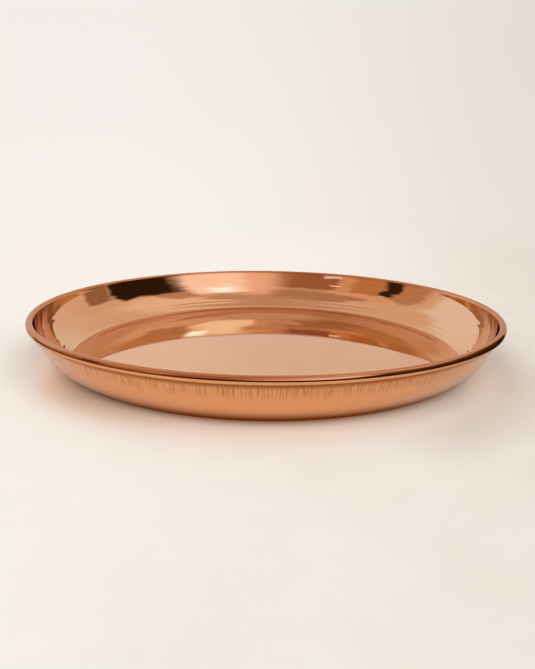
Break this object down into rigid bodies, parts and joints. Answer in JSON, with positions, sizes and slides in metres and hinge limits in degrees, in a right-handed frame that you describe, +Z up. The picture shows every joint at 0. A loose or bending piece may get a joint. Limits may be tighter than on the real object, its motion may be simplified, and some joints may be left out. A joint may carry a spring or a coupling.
{
  "type": "pooja plate",
  "caption": "Shallow round copper plate with a flat floor, an upswept curved wall and a rolled rim, used to hold offerings.",
  "frame": {"origin": "centre of the flat underside, on the surface the plate stands on", "axes": "+Z up along the plate's axis; the picture's camera looks along +Y"},
  "size_m": [0.3, 0.3, 0.0308],
  "materials": {
    "copper_sheet": "copper, mirror-polished inside and on the rim, finely brushed outside",
    "wire_steel": "drawn wire, hidden inside the rim"
  },
  "bodies": {
    "root": {"plate_body": "copper_sheet", "rim_wire": "wire_steel"}
  },
  "joints": []
}
